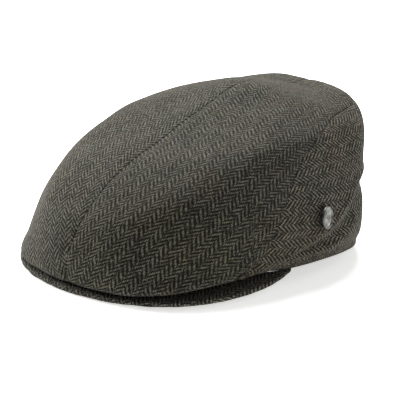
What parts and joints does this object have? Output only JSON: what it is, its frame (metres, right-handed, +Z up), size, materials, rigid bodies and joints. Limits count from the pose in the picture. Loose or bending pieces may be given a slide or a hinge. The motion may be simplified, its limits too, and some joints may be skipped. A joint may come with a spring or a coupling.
{
  "type": "flat cap",
  "caption": "Flat cap of herringbone wool: a low crown in panels drawn forward over a short stiff peak, hollow for the head, with a round metal stud on the wearer's left",
  "frame": {"origin": "the middle of the cap's outline, on the floor that it lies on", "axes": "+Z up; the peak faces -Y; the wearer's left, with the stud, is +X"},
  "size_m": [0.201, 0.2594, 0.1193],
  "materials": {
    "top_wool": "matt herringbone wool, charcoal with grey-brown and faint olive flecks",
    "back_wool": "matt herringbone wool, the same cloth cut on another grain",
    "peak_wool": "matt herringbone wool over a stiff board",
    "badge_metal": "dull antique silver with a raised rim"
  },
  "bodies": {
    "root": {"top_left": "top_wool", "top_right": "top_wool", "back_left": "back_wool", "back_right": "back_wool", "peak": "peak_wool", "badge": "badge_metal"}
  },
  "joints": []
}
